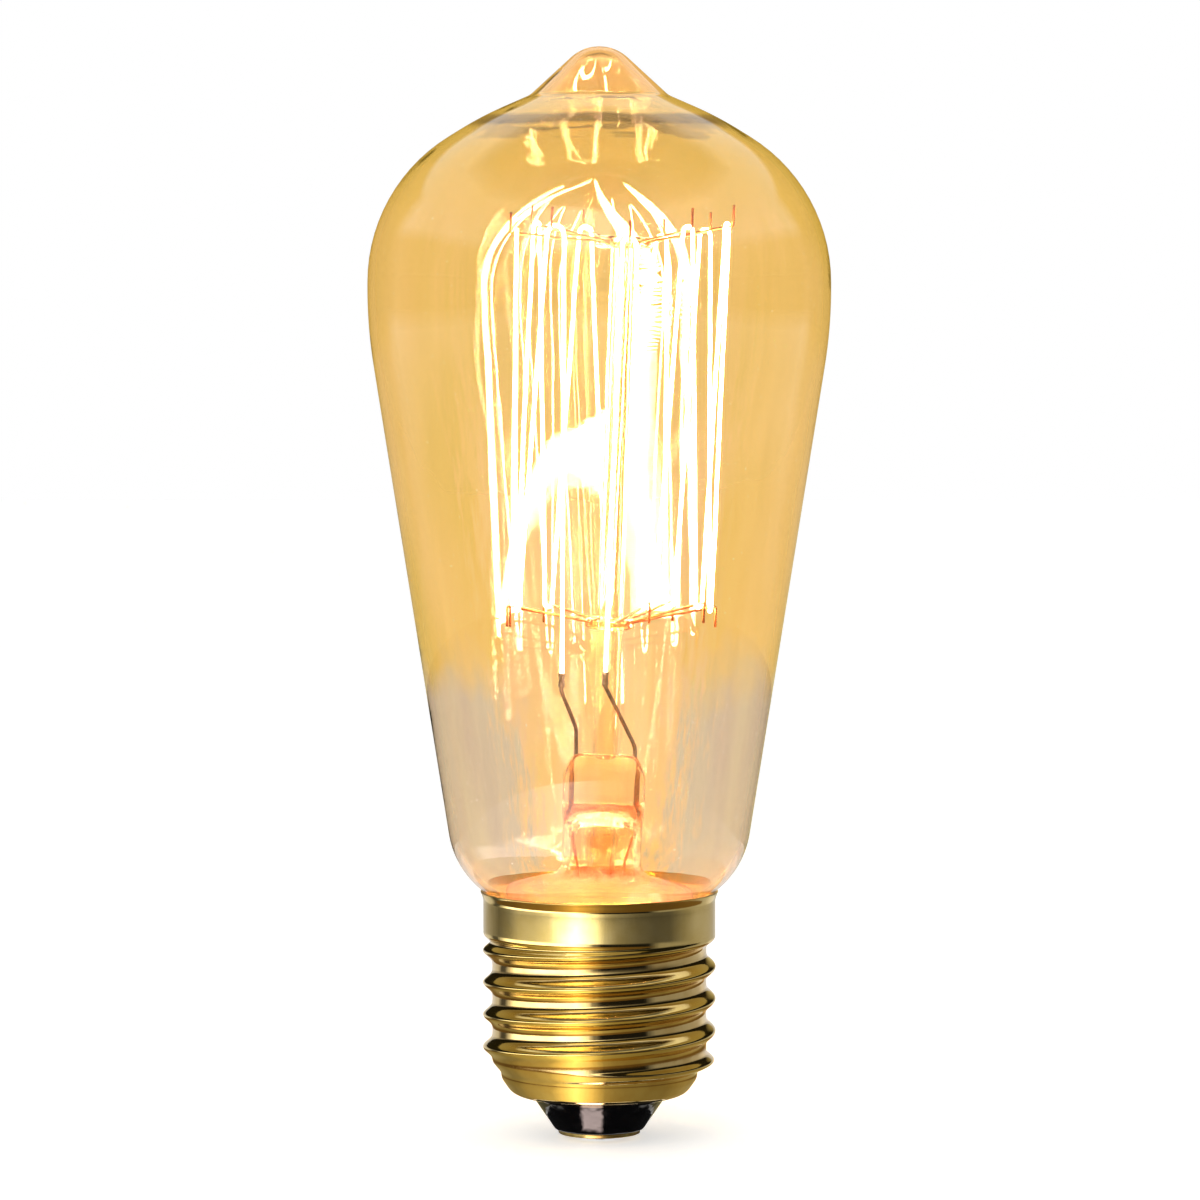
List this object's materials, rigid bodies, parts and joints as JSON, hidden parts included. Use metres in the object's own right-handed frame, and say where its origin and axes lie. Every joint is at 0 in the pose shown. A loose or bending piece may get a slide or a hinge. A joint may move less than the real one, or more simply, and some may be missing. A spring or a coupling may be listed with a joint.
{
  "type": "squirrel cage bulb",
  "caption": "Clear amber filament lamp: tapering tipped glass bulb, zigzag cage filament on a glass stem, and a medium screw cap.",
  "frame": {"origin": "on the cap's axis, at the underside of the centre contact, which is the middle of the bounding box's bottom", "axes": "+Z along the cap's axis from the centre contact to the glass tip; -Y is the side that the picture shows and +Y the side with the soldered lead; the filament mount leans towards +X"},
  "size_m": [0.0516, 0.0516, 0.1225],
  "materials": {
    "amber_glass": "clear blown glass with a thin amber stain",
    "stem_glass": "clear flame-worked lead glass",
    "molybdenum_wire": "fine drawn wire, darkened",
    "lit_filament": "glowing coiled wire",
    "nickel_wire": "drawn nickel wire",
    "sealing_wire": "copper-clad wire sealed in glass",
    "copper_wire": "bare copper wire",
    "brass_sheet": "bright rolled brass sheet",
    "cement": "baked capping cement",
    "black_glass": "glossy black moulded glass",
    "contact_brass": "pressed brass, a little tarnished",
    "solder": "soft solder"
  },
  "bodies": {
    "root": {"envelope": "amber_glass", "stem_flare": "stem_glass", "exhaust_tube": "stem_glass", "arbor_rod": "stem_glass", "upper_button": "stem_glass", "lower_button": "stem_glass", "upper_support_1": "molybdenum_wire", "upper_support_2": "molybdenum_wire", "upper_support_3": "molybdenum_wire", "upper_support_4": "molybdenum_wire", "upper_support_5": "molybdenum_wire", "upper_support_6": "molybdenum_wire", "upper_support_7": "molybdenum_wire", "upper_support_8": "molybdenum_wire", "upper_support_9": "molybdenum_wire", "lower_support_1": "molybdenum_wire", "lower_support_2": "molybdenum_wire", "lower_support_3": "molybdenum_wire", "lower_support_4": "molybdenum_wire", "lower_support_5": "molybdenum_wire", "lower_support_6": "molybdenum_wire", "lower_support_7": "molybdenum_wire", "lower_support_8": "molybdenum_wire", "filament": "lit_filament", "inner_lead_left": "nickel_wire", "inner_lead_right": "nickel_wire", "seal_wire_left": "sealing_wire", "seal_wire_right": "sealing_wire", "side_lead": "copper_wire", "centre_lead": "copper_wire", "cap_shell": "brass_sheet", "capping_cement": "cement", "cap_insulator": "black_glass", "contact_plate": "contact_brass", "centre_solder": "solder", "side_solder": "solder"}
  },
  "joints": []
}
